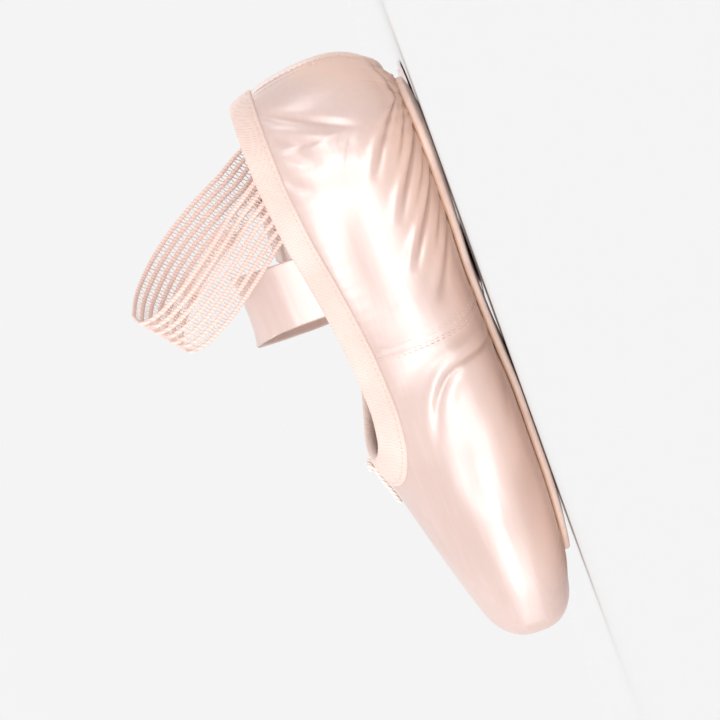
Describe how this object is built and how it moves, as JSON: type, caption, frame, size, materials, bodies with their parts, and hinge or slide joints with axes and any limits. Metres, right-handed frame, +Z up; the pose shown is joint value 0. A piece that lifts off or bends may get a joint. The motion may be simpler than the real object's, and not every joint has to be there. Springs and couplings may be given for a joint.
{
  "type": "pointe shoe",
  "caption": "Peach-pink satin pointe shoe with leather outsole, cotton topline binding, mesh elastic and satin ribbons laid out on the floor.",
  "frame": {"origin": "middle of the shoe's length and width, on the floor under its sole", "axes": "+X towards the toe, +Y towards the shoe's left side, +Z up"},
  "size_m": [0.3066, 0.4147, 0.1187],
  "materials": {
    "satin": "satin",
    "leather": "matte",
    "lining": "matte",
    "cotton": "matte",
    "mesh_elastic": "matte",
    "ribbon_satin": "satin",
    "cotton_cord": "matte"
  },
  "bodies": {
    "root": {"upper": "satin", "outsole": "leather", "insole": "lining", "binding": "cotton", "elastic": "mesh_elastic", "ribbon_left": "ribbon_satin", "ribbon_right": "ribbon_satin", "drawstring": "cotton_cord"}
  },
  "joints": []
}
